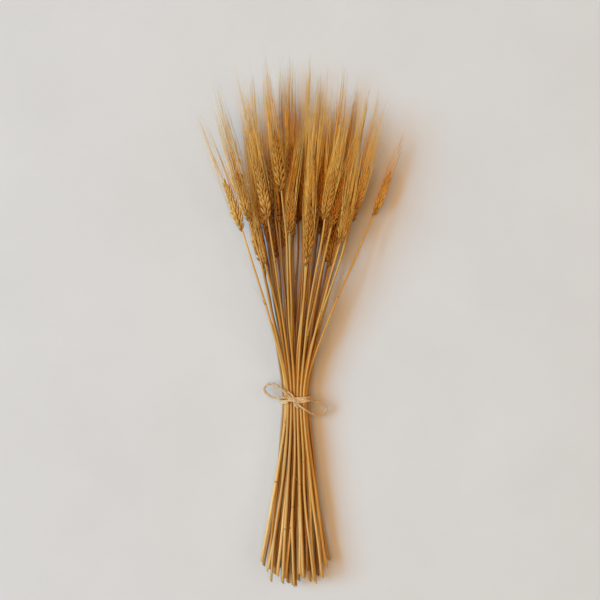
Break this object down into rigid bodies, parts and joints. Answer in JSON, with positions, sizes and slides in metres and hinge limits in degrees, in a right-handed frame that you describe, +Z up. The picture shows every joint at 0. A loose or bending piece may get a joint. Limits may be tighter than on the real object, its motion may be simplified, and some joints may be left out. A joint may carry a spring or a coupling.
{
  "type": "dried barley bundle",
  "caption": "Bundle of dried bearded barley that lies flat, its straws fanning out to golden ears with long awns, tied round the stems with a jute twine bow",
  "frame": {"origin": "on the surface that the bundle lies on, at the flat underside of the twine's first turn, below the middle of the tied stems", "axes": "+Y runs along the stalks from the tie towards the ears, +X is to their right seen from above, +Z is up from the surface"},
  "size_m": [0.2485, 0.6371, 0.0528],
  "materials": {
    "straw": "dry, silky straw and papery husks",
    "twine": "matt, hairy twisted jute"
  },
  "bodies": {
    "root": {"stalk_1_1": "straw", "stalk_1_2": "straw", "stalk_1_3": "straw", "stalk_1_4": "straw", "stalk_1_5": "straw", "stalk_1_6": "straw", "stalk_1_7": "straw", "stalk_2_1": "straw", "stalk_2_2": "straw", "stalk_2_3": "straw", "stalk_2_4": "straw", "stalk_2_5": "straw", "stalk_2_6": "straw", "stalk_2_7": "straw", "stalk_2_8": "straw", "stalk_3_1": "straw", "stalk_3_2": "straw", "stalk_3_3": "straw", "stalk_3_4": "straw", "stalk_3_5": "straw", "stalk_3_6": "straw", "stalk_3_7": "straw", "stalk_3_8": "straw", "stalk_3_9": "straw", "stalk_4_1": "straw", "stalk_4_2": "straw", "stalk_4_3": "straw", "stalk_4_4": "straw", "stalk_4_5": "straw", "stalk_4_6": "straw", "stalk_4_7": "straw", "stalk_4_8": "straw", "stalk_5_1": "straw", "stalk_5_2": "straw", "stalk_5_3": "straw", "stalk_5_4": "straw", "stalk_5_5": "straw", "stalk_5_6": "straw", "stalk_5_7": "straw", "stalk_6_1": "straw", "stalk_6_2": "straw", "stalk_6_3": "straw", "stalk_6_4": "straw", "stalk_6_5": "straw", "stalk_6_6": "straw", "twine_tie": "twine"}
  },
  "joints": []
}
